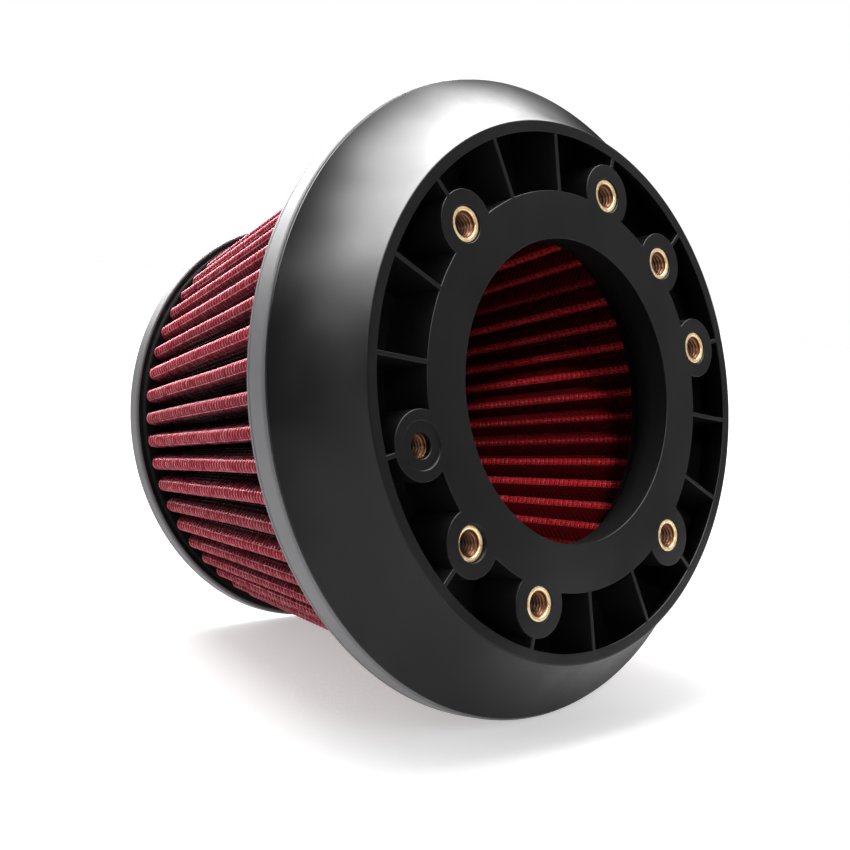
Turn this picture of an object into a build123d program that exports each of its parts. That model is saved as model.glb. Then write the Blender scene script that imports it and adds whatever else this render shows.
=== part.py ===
"""Open-pod air filter: bell-shaped flange moulding, pleated cone and end cap.

Millimetres. The filter axis runs along Y. The flange face that bolts to the
intake lies in the plane y = 0 and looks towards -Y. The origin is the centre
of the intake bore on that face. +Z is up.
"""
import math
import os

from build123d import *

os.makedirs("parts", exist_ok=True)

# ---- flange and intake bore -------------------------------------------------
bore_r = 37.5              # intake spigot bore
bore_straight = 5.0        # parallel part of the bore, from the flange face
mouth_r = 44.2             # where the flared inner mouth ends
mouth_y = 14.0
ring_r = 49.3              # outside of the flat mounting ring
floor_y0 = 14.5            # front of the pocket floor
floor_y1 = 17.5            # back of the pocket floor

# ---- bell shell -------------------------------------------------------------
rim_in_r = 63.6            # inside edge of the front rim
rim_out_r = 66.6           # outside edge of the front rim
rim_round = 0.6
flare_r = 80.4             # where the flare meets the back rim
flare_y = 16.2
flare_start_deg = 20.0     # slope of the flare at the front rim
flare_end_deg = 63.0       # slope of the flare at the back rim
skirt_r = 78.6             # seat of the rim band
skirt_y = 23.0             # back end of the bell

# ---- threaded bosses --------------------------------------------------------
boss_r = 8.05
square_r = 51.2            # radius of the four-hole circle
oblong_r = 53.0            # radius of the four extra holes
oblong_deg = 29.0          # their angle either side of a square hole
clock_deg = 43.0           # first square hole, from +X towards +Z
rib_t = 1.1
insert_od = 8.4
insert_len = 10.0
thread_minor_r = 2.5       # M6 x 1
thread_major_r = 3.0
thread_pitch = 1.0
thread_turns = 8
seat_r = 4.35              # counterbore round each insert
deep_lip_r = 5.5
deep_hole_r = 2.95

# ---- rim bands --------------------------------------------------------------
band_r = 81.0
band_y0 = 16.7
band_y1 = 23.0
cap_r = 59.8
cap_band_t = 0.9

# ---- pleated pack -----------------------------------------------------------
pleats = 56
pack_y0 = 18.6             # ends of the pack, in the channels of the two sealing rings
pack_y1 = 108.4
crest_r_front = 75.1       # outer crest radius at pack_y0
crest_r_back = 57.0        # outer crest radius at pack_y1
pleat_depth = 10.4         # at the front end; it shrinks with the cone
wire_t = 0.32              # each wire screen
ply_t = 0.48               # each ply of cotton gauze
plies = 2
layer_gap = 0.02
clip_t = 0.5               # folded strip over the joined ends of the pack
clip_y0 = 24.0
clip_y1 = 104.0
clip_pleat = 3

# ---- sealing rings and end cap ----------------------------------------------
ring_front_y1 = 22.4
ring_front_in = 60.0
ring_back_y0 = 106.0
ring_back_in = 46.2
cup_y0 = 107.2
cup_y1 = 111.2
cup_wall = 1.0
dish_rim_r = 47.6
dish_depth = 17.0
dish_floor_r = 15.0
cap_t = 2.2


def turned(steps):
    """Solid of revolution about Y from a closed outline of (radius, y) points.

    A step of four numbers is an arc through its first pair to its second pair.
    """
    with BuildPart() as made:
        with BuildSketch(Plane.XY):
            with BuildLine():
                here = steps[0]
                for step in steps[1:] + [steps[0]]:
                    if len(step) == 4:
                        ThreePointArc(here, step[:2], step[2:])
                    elif step != here:
                        Line(here, step)
                    here = step[-2:]
            make_face()
        revolve(axis=Axis.Y)
    return made.part.solid()


def tube(r_in, r_out, y0, y1):
    """Plain ring between two radii and two stations."""
    return turned([(r_in, y0), (r_out, y0), (r_out, y1), (r_in, y1)])


def polar(radius, deg, y=0.0):
    """Point on a circle about Y, angle from +X towards +Z."""
    a = math.radians(deg)
    return (radius * math.cos(a), y, radius * math.sin(a))


def along_y(radius, centre, y0, y1):
    """Round bar parallel to Y between two stations."""
    spot = Plane(origin=(centre[0], y0, centre[2]), z_dir=(0, 1, 0))
    return spot * Cylinder(radius, y1 - y0, align=(Align.CENTER, Align.CENTER, Align.MIN))


def arc_step(p0, p1, deg0, deg1, backwards=False):
    """Arc step between two points; the two angles are its slopes from the axis."""
    chord = math.hypot(p1[0] - p0[0], p1[1] - p0[1])
    turn = math.radians(deg1 - deg0)
    radius = chord / (2.0 * math.sin(turn / 2.0))
    start = math.radians(deg0)
    cx = p0[0] + radius * math.cos(start)
    cy = p0[1] - radius * math.sin(start)
    half = start + turn / 2.0
    middle = (cx - radius * math.cos(half), cy + radius * math.sin(half))
    return middle + (p0 if backwards else p1)


def boss_spots():
    """(angle, radius, recess, lipped) of the eight threaded bosses."""
    c = clock_deg
    d = oblong_deg
    return [
        (c + 90.0, square_r, 0.45, False),
        (c + d, oblong_r, 0.35, False),
        (c, square_r, 0.30, False),
        (c - d, oblong_r, 0.25, False),
        (c - 90.0, square_r, 0.12, False),
        (c + d - 180.0, oblong_r, 0.12, False),
        (c - 180.0, square_r, 1.00, False),
        (c - d - 180.0, oblong_r, 2.20, True),
    ]


def rib_angles():
    """Two free ribs share the wide gap between neighbouring boss groups."""
    step = (90.0 - oblong_deg) / 3.0
    out = []
    for half in (0.0, 180.0):
        high = clock_deg + oblong_deg + half
        low = clock_deg - oblong_deg + half
        out += [high + step, high + 2.0 * step]
        out += [low - step, low - 2.0 * step]
    return out


def radial_wall(deg, r0, r1, y0, y1):
    """Thin flat wall standing on a radius."""
    c = polar((r0 + r1) / 2.0, deg, (y0 + y1) / 2.0)
    a = math.radians(deg)
    where = Plane(origin=c, x_dir=(math.cos(a), 0, math.sin(a)), z_dir=(0, 1, 0))
    return where * Box(r1 - r0, rib_t, y1 - y0)


def shell_outline():
    """Bell shell from the front rim to the back skirt."""
    nose = (rim_out_r, rim_round)
    lip = (rim_out_r - 0.18, 0.18)
    hollow = (skirt_r - 3.2, floor_y0)
    out = [(rim_in_r, 0.0), (rim_out_r - rim_round, 0.0), lip + nose]
    out += [arc_step(nose, (flare_r, flare_y), flare_start_deg, flare_end_deg)]
    out += [(flare_r, band_y0), (skirt_r, band_y0), (skirt_r, skirt_y)]
    out += [(skirt_r - 2.4, skirt_y), (skirt_r - 2.4, floor_y1)]
    out += [(skirt_r - 3.2, floor_y1), hollow]
    out += [arc_step((rim_in_r, 0.0), hollow, 24.0, 55.0, backwards=True)]
    return out


def hub_outline():
    """Mounting ring with its parallel bore and flared inner mouth."""
    end = (mouth_r, mouth_y)
    straight = (bore_r, bore_straight)
    out = [(bore_r, 0.0), (ring_r, 0.0), (ring_r, floor_y1)]
    out += [(mouth_r, floor_y1), end]
    out += [arc_step(straight, end, 0.0, 73.0, backwards=True)]
    return out


def make_bell():
    """Bell moulding: ring, bosses, ribs, pocket floor and flared shell."""
    body = turned(shell_outline())
    body = body + turned(hub_outline())
    body = body + tube(ring_r - 0.5, skirt_r - 3.0, floor_y0, floor_y1)
    reach = rim_in_r + 1.0
    for deg, radius, _, _ in boss_spots():
        body = body + along_y(boss_r, polar(radius, deg), 0.0, floor_y0 + 0.5)
        body = body + radial_wall(deg, radius + 6.0, reach, 0.0, floor_y0 + 0.5)
    for deg in rib_angles():
        body = body + radial_wall(deg, ring_r - 0.5, reach, 0.0, floor_y0 + 0.5)
    for deg, radius, recess, lipped in boss_spots():
        centre = polar(radius, deg)
        if lipped:
            body = body - along_y(deep_lip_r, centre, -1.0, 0.5)
            body = body - along_y(deep_hole_r, centre, -1.0, recess + 0.1)
        else:
            body = body - along_y(seat_r, centre, -1.0, recess)
        body = body - along_y(insert_od / 2.0, centre, recess, recess + insert_len)
    return body.solid()


def insert_outline():
    """Threaded insert about its own axis, face at y = 0."""
    out = [(3.35, 0.0), (insert_od / 2.0 - 0.15, 0.0), (insert_od / 2.0, 0.15)]
    out += [(insert_od / 2.0, 4.3), (insert_od / 2.0 - 0.5, 4.6)]
    out += [(insert_od / 2.0 - 0.5, 5.9), (insert_od / 2.0, 6.2)]
    out += [(insert_od / 2.0, insert_len - 0.3), (insert_od / 2.0 - 0.3, insert_len)]
    out += [(thread_major_r, insert_len)]
    for turn in range(thread_turns, 0, -1):
        y = 0.85 + turn * thread_pitch
        out += [(thread_minor_r, y - 0.38), (thread_minor_r, y - 0.52)]
        out += [(thread_major_r, y - 0.90)]
    return out


def make_insert(deg, radius, recess):
    """One brass insert seated in its boss."""
    blank = turned(insert_outline())
    x, _, z = polar(radius, deg)
    return blank.moved(Location((x, recess, z)))


def make_band():
    """Satin rim band round the largest diameter of the bell."""
    out = [(skirt_r, band_y0), (band_r - 0.3, band_y0), (band_r, band_y0 + 0.3)]
    out += [(band_r, band_y1 - 1.5), (band_r - 0.3, band_y1 - 1.3)]
    out += [(band_r - 0.3, band_y1 - 0.9), (band_r - 0.1, band_y1 - 0.7)]
    out += [(band_r - 0.1, band_y1 - 0.2), (band_r - 0.3, band_y1), (skirt_r, band_y1)]
    return turned(out)


def cone_scale(y):
    """Size of the pack's section at a station; every wall tapers to one apex."""
    t = (y - pack_y0) / (pack_y1 - pack_y0)
    return 1.0 + (crest_r_back / crest_r_front - 1.0) * t


def pleat_loop(y, depth):
    """Closed zigzag with rounded crests; depth counts inwards through the layers."""
    pitch = 2.0 * math.pi / pleats
    stack = 2.0 * wire_t + plies * ply_t + (plies + 1) * layer_gap
    f = depth / stack
    top = crest_r_front - depth
    foot = crest_r_front - pleat_depth + stack - depth
    side = [
        (foot, (0.455 - 0.095 * f) * pitch),
        (top - 1.1 + 0.6 * f, (0.225 - 0.125 * f) * pitch),
        (top, (0.105 - 0.060 * f) * pitch),
    ]
    k = cone_scale(y)
    points = []
    for n in range(pleats):
        c = n * pitch
        for r, a in side:
            points.append(Vector(k * r * math.cos(c - a), y, k * r * math.sin(c - a)))
        for r, a in reversed(side):
            points.append(Vector(k * r * math.cos(c + a), y, k * r * math.sin(c + a)))
    return points


def flat_between(p, q, r, s):
    """Flat four-cornered face."""
    return Face(Wire.make_polygon([p, q, r, s], close=True))


def pleat_skin(depth_out, depth_in):
    """One layer of the pack: the space between two pleated surfaces."""
    faces = []
    near = [pleat_loop(pack_y0, depth_out), pleat_loop(pack_y0, depth_in)]
    far = [pleat_loop(pack_y1, depth_out), pleat_loop(pack_y1, depth_in)]
    for loops in (near, far):
        wires = [Wire.make_polygon(pts, close=True) for pts in loops]
        faces.append(Face(wires[0], [wires[1]]))
    for low, high in zip(near, far):
        turn = list(zip(low, low[1:] + low[:1], high[1:] + high[:1], high))
        faces += [flat_between(*corners) for corners in turn]
    return Solid(Shell(faces))


def make_layers():
    """Outer screen, gauze plies and inner screen as nested pleated skins."""
    names = ["screen_outer"]
    names += ["gauze_ply_%d" % (i + 1) for i in range(plies)]
    names += ["screen_inner"]
    thick = [wire_t] + [ply_t] * plies + [wire_t]
    made = {}
    depth = 0.0
    for name, t in zip(names, thick):
        made[name] = pleat_skin(depth, depth + t)
        depth += t + layer_gap
    return made


def clip_loop(y):
    """Outline of the folded seam strip over one crest, just clear of the screen."""
    pts = pleat_loop(y, -layer_gap)[6 * clip_pleat: 6 * clip_pleat + 6]
    low = pts[1] + (pts[0] - pts[1]) * 0.5
    high = pts[4] + (pts[5] - pts[4]) * 0.5
    inside = [low] + pts[1:5] + [high]
    middle = clip_pleat * 2.0 * math.pi / pleats
    k = cone_scale(y)
    outside = []
    for i, p in enumerate(inside):
        r = math.hypot(p.X, p.Z)
        a = math.atan2(p.Z, p.X)
        a += math.copysign(k * clip_t / r, a - middle)
        lift = 0.0 if i in (0, 5) else k * clip_t
        outside.append(Vector((r + lift) * math.cos(a), y, (r + lift) * math.sin(a)))
    return inside + list(reversed(outside))


def make_clip():
    """Seam clip that joins the two ends of the pleated strip."""
    low = clip_loop(clip_y0)
    high = clip_loop(clip_y1)
    faces = [Face(Wire.make_polygon(pts, close=True)) for pts in (low, high)]
    turn = list(zip(low, low[1:] + low[:1], high[1:] + high[:1], high))
    faces += [flat_between(*corners) for corners in turn]
    return Solid(Shell(faces))


def make_cup():
    """End cap: shallow cup for the sealing ring with a dished, closed centre."""
    inner_r = cap_r - cap_band_t
    wall_r = inner_r - cup_wall
    floor_y = cup_y1 - cap_t
    deep = cup_y1 - dish_depth
    out = [(0.0, deep), (dish_floor_r, deep), (dish_rim_r - 1.5, cup_y1 - 0.9)]
    out += [(dish_rim_r, cup_y1 - 0.6), (dish_rim_r + 1.2, cup_y1)]
    out += [(inner_r, cup_y1), (inner_r, cup_y0 + 0.1), (wall_r, cup_y0 + 0.1)]
    out += [(wall_r, floor_y), (ring_back_in, floor_y)]
    out += [(dish_floor_r - 0.8, deep - cap_t), (0.0, deep - cap_t)]
    return turned(out)


def make_cap_band():
    """Satin rim band round the end cap."""
    r0 = cap_r - cap_band_t
    out = [(r0, cup_y0), (cap_r - 0.2, cup_y0), (cap_r, cup_y0 + 0.2)]
    out += [(cap_r, cup_y1 - 0.3), (cap_r - 0.3, cup_y1), (r0, cup_y1)]
    return turned(out)


def make_front_ring():
    """Sealing ring at the bell end, with a channel for the pleats."""
    r1 = skirt_r - 2.4
    c0 = (crest_r_front - pleat_depth) * cone_scale(ring_front_y1) - 0.1
    c1 = crest_r_front + 0.1
    out = [(ring_front_in, floor_y1), (r1, floor_y1), (r1, ring_front_y1)]
    out += [(c1, ring_front_y1), (c1, pack_y0), (c0, pack_y0)]
    out += [(c0, ring_front_y1), (ring_front_in, ring_front_y1)]
    return turned(out)


def make_back_ring():
    """Sealing ring in the end cap, with a channel for the pleats."""
    r1 = cap_r - cap_band_t - cup_wall
    c0 = (crest_r_front - pleat_depth) * cone_scale(pack_y1) - 0.1
    c1 = crest_r_front * cone_scale(ring_back_y0) + 0.1
    out = [(ring_back_in, ring_back_y0), (c0, ring_back_y0), (c0, pack_y1)]
    out += [(c1, pack_y1), (c1, ring_back_y0), (r1, ring_back_y0)]
    out += [(r1, cup_y1 - cap_t), (ring_back_in, cup_y1 - cap_t)]
    return turned(out)


def save(shape, name):
    """Write one named piece."""
    shape.label = name
    export_step(shape, "parts/%s.step" % name)
    print(name, round(shape.volume, 1))


def build():
    """Make every piece and write it."""
    save(make_bell(), "bell")
    for i, (deg, radius, recess, _) in enumerate(boss_spots()):
        save(make_insert(deg, radius, recess), "insert_%d" % (i + 1))
    save(make_band(), "bell_band")
    for name, shape in make_layers().items():
        save(shape, name)
    save(make_clip(), "seam_clip")
    save(make_front_ring(), "ring_front")
    save(make_back_ring(), "ring_back")
    save(make_cup(), "end_cap")
    save(make_cap_band(), "cap_band")


build()
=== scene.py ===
"""Looks of an open-pod air filter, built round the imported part. Metres, +Z up.

The filter axis runs along Y and the flange face lies in the plane y = 0.
Profiles are worked in millimetres and written to the meshes in metres.
"""
import math

import bmesh
import bpy
import numpy as np
from mathutils import Matrix, Vector


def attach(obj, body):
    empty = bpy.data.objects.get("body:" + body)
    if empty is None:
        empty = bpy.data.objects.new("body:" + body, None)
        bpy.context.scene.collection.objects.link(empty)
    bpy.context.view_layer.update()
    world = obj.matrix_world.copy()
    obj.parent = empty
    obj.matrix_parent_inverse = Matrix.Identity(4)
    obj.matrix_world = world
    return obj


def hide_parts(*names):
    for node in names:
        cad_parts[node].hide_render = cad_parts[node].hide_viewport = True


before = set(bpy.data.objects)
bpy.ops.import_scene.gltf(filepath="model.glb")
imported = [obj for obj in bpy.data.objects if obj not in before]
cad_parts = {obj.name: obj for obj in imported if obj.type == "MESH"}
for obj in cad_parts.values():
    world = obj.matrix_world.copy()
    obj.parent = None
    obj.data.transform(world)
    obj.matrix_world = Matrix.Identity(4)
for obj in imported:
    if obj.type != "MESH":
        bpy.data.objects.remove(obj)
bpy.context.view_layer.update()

MM = 0.001
rng = np.random.default_rng(63)

# ---- sizes that the part and its looks share, in millimetres ----------------
bore_r = 37.5
bore_straight = 5.0
mouth_r, mouth_y = 44.2, 14.0
ring_r = 49.3
floor_y0, floor_y1 = 14.5, 17.5
rim_in_r, rim_out_r, rim_round = 63.6, 66.6, 0.6
flare_r, flare_y = 80.4, 16.2
skirt_r, skirt_y = 78.6, 23.0
skirt_in_r = skirt_r - 2.4
boss_r, square_r, oblong_r = 8.05, 51.2, 53.0
oblong_deg, clock_deg = 29.0, 43.0
rib_t = 1.1
insert_r, insert_len = 4.2, 10.0
thread_minor, thread_major, thread_pitch = 2.5, 3.0, 1.0
seat_r, deep_lip_r, deep_hole_r = 4.35, 5.5, 2.95
band_r, band_y0, band_y1 = 81.0, 16.7, 23.0
cap_r, cap_band_t = 59.8, 0.9
pleats = 56
pack_y0, pack_y1 = 18.6, 108.4
crest_front, crest_back = 75.1, 57.0
pleat_depth = 10.4
stack_t = 1.6
ply_face, ply_back = 0.44, 0.03      # faces of a gauze ply, from the middle of the stack
weft_out, warp_out = 0.67, 0.60      # wires across and along the pleats, likewise
weft_r, warp_r = 0.175, 0.165        # their radii
ring_front_y1, ring_front_in = 22.4, 60.0
ring_back_y0, ring_back_in = 106.0, 46.2
cup_y0, cup_y1, cup_wall = 107.2, 111.2, 1.0
dish_rim_r, dish_depth, dish_floor_r, cap_t = 47.6, 17.0, 15.0, 2.2
front_touch_y = 21.5       # where the rim band stands on the floor
edge = 0.22                # rounding of the bell's front edges
around = 360               # steps of a full turn
on_axis = 1e-6             # a radius below this is a point on the axis


# ---- mesh helpers -----------------------------------------------------------
def placed(name, data):
    """New object for the data, in the scene's own collection."""
    obj = bpy.data.objects.new(name, data)
    bpy.context.scene.collection.objects.link(obj)
    return obj


def finish_mesh(obj, sharp_deg=38.0):
    """Outward normals, smooth faces, sharp corners and flat faces kept flat."""
    bm = bmesh.new()
    bm.from_mesh(obj.data)
    bmesh.ops.remove_doubles(bm, verts=bm.verts, dist=1e-7)
    bmesh.ops.recalc_face_normals(bm, faces=bm.faces)
    bm.to_mesh(obj.data)
    bm.free()
    obj.data.polygons.foreach_set("use_smooth", np.full(len(obj.data.polygons), True))
    obj.data.set_sharp_from_angle(angle=math.radians(sharp_deg))
    weighted = obj.modifiers.new("flat_faces", "WEIGHTED_NORMAL")
    weighted.keep_sharp = True
    weighted.weight = 60


def to_object(name, points, faces, sharp_deg=38.0):
    """Mesh object from millimetre points, riding on the filter's one body."""
    mesh = bpy.data.meshes.new(name)
    mesh.from_pydata((np.asarray(points, float) * MM).tolist(), [], faces)
    mesh.update()
    obj = placed(name, mesh)
    finish_mesh(obj, sharp_deg)
    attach(obj, "root")
    return obj


def from_arrays(name, groups):
    """Large smooth mesh from groups of millimetre points and the faces on them."""
    points, loops, sizes, shift = [], [], [], 0
    for corners, *face_sets in groups:
        for faces in face_sets:
            loops.append((faces + shift).ravel())
            sizes.append(np.full(len(faces), faces.shape[1]))
        points.append(corners)
        shift += len(corners)
    points, loops = np.concatenate(points), np.concatenate(loops).astype(np.int32)
    sizes = np.concatenate(sizes)
    starts = np.concatenate([[0], np.cumsum(sizes)[:-1]]).astype(np.int32)
    mesh = bpy.data.meshes.new(name)
    mesh.vertices.add(len(points))
    mesh.vertices.foreach_set("co", (points * MM).astype(np.float32).ravel())
    mesh.loops.add(len(loops))
    mesh.loops.foreach_set("vertex_index", loops)
    mesh.polygons.add(len(sizes))
    mesh.polygons.foreach_set("loop_start", starts)
    mesh.update(calc_edges=True)
    mesh.polygons.foreach_set("use_smooth", np.full(len(sizes), True))
    obj = placed(name, mesh)
    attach(obj, "root")
    return obj


def float_attribute(mesh, name, values):
    """Per-point number that the materials read."""
    made = mesh.attributes.new(name, "FLOAT", "POINT")
    made.data.foreach_set("value", np.asarray(values, np.float32))


def arc(p0, p1, deg0, deg1, count):
    """Arc between two (radius, y) points; the angles are slopes from the axis."""
    chord = math.hypot(p1[0] - p0[0], p1[1] - p0[1])
    turn = math.radians(deg1 - deg0)
    radius = chord / (2.0 * math.sin(turn / 2.0))
    start = math.radians(deg0)
    cx = p0[0] + radius * math.cos(start)
    cy = p0[1] - radius * math.sin(start)
    angles = [start + turn * i / count for i in range(count + 1)]
    return [(cx - radius * math.cos(a), cy + radius * math.sin(a)) for a in angles]


def softened(outline, radius=0.15, steps=3):
    """The outline with each corner rounded a little; entries may be (r, y, own)."""
    out = []
    count = len(outline)
    for i in range(count):
        r, y = outline[i][:2]
        own = outline[i][2] if len(outline[i]) > 2 else radius
        before = np.array(outline[i - 1][:2])
        after = np.array(outline[(i + 1) % count][:2])
        here = np.array((r, y))
        to_a, to_b = before - here, after - here
        len_a, len_b = np.linalg.norm(to_a), np.linalg.norm(to_b)
        cut = min(own, 0.4 * len_a, 0.4 * len_b)
        bend = np.dot(to_a, to_b) / (len_a * len_b)
        if r < on_axis or cut < 1e-3 or bend < -0.985:
            out.append((r, y))
            continue
        a, b = here + to_a / len_a * cut, here + to_b / len_b * cut
        for j in range(steps + 1):
            t = j / steps
            out.append(tuple((1 - t) ** 2 * a + 2 * t * (1 - t) * here + t * t * b))
    return out


def lathe(name, outline):
    """Closed (radius, y) outline turned about the filter's axis."""
    angles = np.arange(around) * 2 * math.pi / around
    points, faces, index = [], [], []
    for r, y in outline:
        if r < on_axis:
            index.append([len(points)] * around)
            points.append((0.0, y, 0.0))
            continue
        index.append(list(range(len(points), len(points) + around)))
        for a in angles:
            points.append((r * math.cos(a), y, r * math.sin(a)))
    rows = len(outline)
    for i in range(rows):
        a, b = index[i], index[(i + 1) % rows]
        for j in range(around):
            m = (j + 1) % around
            corners = list(dict.fromkeys((a[j], a[m], b[m], b[j])))
            if len(corners) > 2:
                faces.append(corners)
    return to_object(name, points, faces)


# ---- bell moulding ----------------------------------------------------------
def boss_table():
    """(angle, radius, recess, lipped) of the eight threaded bosses."""
    c, d = clock_deg, oblong_deg
    return [
        (c + 90.0, square_r, 0.45, False),
        (c + d, oblong_r, 0.35, False),
        (c, square_r, 0.30, False),
        (c - d, oblong_r, 0.25, False),
        (c - 90.0, square_r, 0.12, False),
        (c + d - 180.0, oblong_r, 0.12, False),
        (c - 180.0, square_r, 1.00, False),
        (c - d - 180.0, oblong_r, 2.20, True),
    ]


def wall_table():
    """(angle, boss radius or None) of the sixteen radial ribs, in order."""
    step = (90.0 - oblong_deg) / 3.0
    walls = [(deg % 360.0, radius) for deg, radius, _, _ in boss_table()]
    for half in (0.0, 180.0):
        high = clock_deg + oblong_deg + half
        low = clock_deg - oblong_deg + half
        for deg in (high + step, high + 2 * step, low - step, low - 2 * step):
            walls.append((deg % 360.0, None))
    return sorted(walls)


def rib_foot(deg, radius, side, grow):
    """Inner edge of a pocket from one rib out to the plain ring."""
    a = math.radians(deg)
    er, et = np.array((math.cos(a), math.sin(a))), np.array((-math.sin(a), math.cos(a)))
    half = rib_t / 2.0 - grow
    ring = ring_r - grow
    if radius is None:
        first = math.asin(half / ring)
        return [ring * (math.cos(first) * er + side * math.sin(first) * et)]
    lobe = boss_r - grow
    start = math.asin(half / lobe)
    far = (ring * ring - radius * radius - lobe * lobe) / (2.0 * radius * lobe)
    end = math.acos(max(-1.0, min(1.0, far)))
    out, steps = [], 16
    for i in range(steps + 1):
        t = start + (end - start) * i / steps
        out.append((radius + lobe * math.cos(t)) * er + side * lobe * math.sin(t) * et)
    return out


def pocket(wall_a, wall_b, r_outer, grow):
    """Closed outline of one pocket between two ribs; grow opens it all round."""
    left = rib_foot(wall_a[0], wall_a[1], 1.0, grow)
    right = rib_foot(wall_b[0], wall_b[1], -1.0, grow)
    t0 = math.atan2(left[-1][1], left[-1][0])
    t1 = math.atan2(right[-1][1], right[-1][0])
    while t1 < t0:
        t1 += 2 * math.pi
    ring = ring_r - grow
    ring_steps, outer_steps = 14, 24
    middle = []
    for i in range(1, ring_steps):
        t = t0 + (t1 - t0) * i / ring_steps
        middle.append(np.array((ring * math.cos(t), ring * math.sin(t))))
    far = r_outer + grow
    slip = math.asin((rib_t / 2.0 - grow) / far)
    a1 = math.radians(wall_b[0]) - slip
    a0 = math.radians(wall_a[0]) + slip
    while a1 < a0:
        a1 += 2 * math.pi
    outer = []
    for i in range(outer_steps + 1):
        t = a1 + (a0 - a1) * i / outer_steps
        outer.append(np.array((far * math.cos(t), far * math.sin(t))))
    return left + middle + list(reversed(right)) + outer


def round_over():
    """(distance opened, depth) of a small rounded edge."""
    steps = 3
    angles = [math.pi / 2 * i / steps for i in range(steps + 1)]
    return [(edge * (1 - math.sin(a)), edge * (1 - math.cos(a))) for a in angles]


def ring_verts(bm, plane_points, y):
    """A loop of vertices at one depth."""
    return [bm.verts.new((p[0] * MM, y * MM, p[1] * MM)) for p in plane_points]


def bridge(bm, rows):
    """Quads between each two loops that follow one another."""
    for a, b in zip(rows, rows[1:]):
        for i in range(len(a)):
            j = (i + 1) % len(a)
            bm.faces.new((a[i], a[j], b[j], b[i]))


def circle(radius, count, centre=(0.0, 0.0)):
    """Points on a circle in the flange plane."""
    angles = np.arange(count) * 2 * math.pi / count
    return [
        (centre[0] + radius * math.cos(a), centre[1] + radius * math.sin(a))
        for a in angles
    ]


def bell_outline():
    """(radius, y) of the turned surface, from the rim round the back to the bore."""
    rim_steps, rim_share = 5, 0.82
    outline = [(rim_out_r - rim_round, 0.0)]
    for i in range(1, rim_steps):
        a = math.pi / 2 * i / rim_steps * rim_share
        outline.append((rim_out_r - rim_round * (1 - math.sin(a)),
                        rim_round * (1 - math.cos(a))))
    outline += arc((rim_out_r, rim_round), (flare_r, flare_y), 20.0, 63.0, 44)
    outline += [(flare_r + 0.02, flare_y + 0.2), (flare_r, band_y0)]
    outline += [(skirt_r, band_y0), (skirt_r, skirt_y), (skirt_in_r, skirt_y)]
    outline += [(skirt_in_r, floor_y1), (62.0, floor_y1), (mouth_r + 1.0, floor_y1)]
    outline += [(mouth_r + 0.3, floor_y1 - 0.3), (mouth_r, floor_y1 - 1.0)]
    mouth = arc((bore_r, bore_straight), (mouth_r, mouth_y), 0.0, 73.0, 16)
    outline += list(reversed(mouth))
    outline += [(bore_r + opened, depth) for opened, depth in reversed(round_over())]
    return outline


def add_pocket(bm, wall, following):
    """One pocket between two ribs; returns its loop in the front face."""
    under_flare = arc((rim_in_r, 0.0), (skirt_r - 3.2, floor_y0), 24.0, 55.0, 10)
    rows = []
    for opened, depth in round_over():
        shape = pocket(wall, following, rim_in_r, opened)
        rows.append(ring_verts(bm, shape, depth))
    for r, y in under_flare[2:]:
        rows.append(ring_verts(bm, pocket(wall, following, r, 0.0), y))
    bridge(bm, rows)
    bm.faces.new(rows[-1])
    return rows[0]


def add_boss_hole(bm, deg, radius, recess, lipped):
    """One stepped hole for an insert; returns its loop in the front face."""
    turns = 72
    a = math.radians(deg)
    centre = (radius * math.cos(a), radius * math.sin(a))
    if lipped:
        steps = [(deep_lip_r, 0.42), (deep_lip_r - 0.1, 0.5)]
        steps += [(deep_hole_r + 0.12, 0.5), (deep_hole_r, 0.62)]
        steps += [(deep_hole_r, recess)]
        mouth_at, round_scale = deep_lip_r, 1.0
    else:
        steps = [(seat_r, recess)]
        mouth_at, round_scale = seat_r, min(1.0, recess / edge * 0.8)
    rows = []
    for opened, depth in round_over():
        shape = circle(mouth_at + opened * round_scale, turns, centre)
        rows.append(ring_verts(bm, shape, depth * round_scale))
    steps += [(insert_r, recess), (insert_r, recess + insert_len)]
    for r, y in steps:
        rows.append(ring_verts(bm, circle(r, turns, centre), y))
    bridge(bm, rows)
    bm.faces.new(rows[-1])
    return rows[0]


def make_bell():
    """One closed moulding with rounded edges on its front face."""
    bm = bmesh.new()
    loops = [ring_verts(bm, circle(r, around), y) for r, y in bell_outline()]
    bridge(bm, loops)
    face_loops = [loops[0], loops[-1]]
    walls = wall_table()
    for i, wall in enumerate(walls):
        face_loops.append(add_pocket(bm, wall, walls[(i + 1) % len(walls)]))
    for boss in boss_table():
        face_loops.append(add_boss_hole(bm, *boss))

    front_edges = []
    for loop in face_loops:
        for i, vert in enumerate(loop):
            front_edges.append(bm.edges.get((vert, loop[(i + 1) % len(loop)])))
    bmesh.ops.triangle_fill(bm, use_beauty=True, edges=front_edges, normal=(0, -1, 0))
    bmesh.ops.remove_doubles(bm, verts=bm.verts, dist=1e-7)
    mesh = bpy.data.meshes.new("bell_moulding")
    bm.to_mesh(mesh)
    bm.free()
    obj = placed("bell_moulding", mesh)
    finish_mesh(obj)
    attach(obj, "root")
    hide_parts("bell")
    return obj


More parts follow.
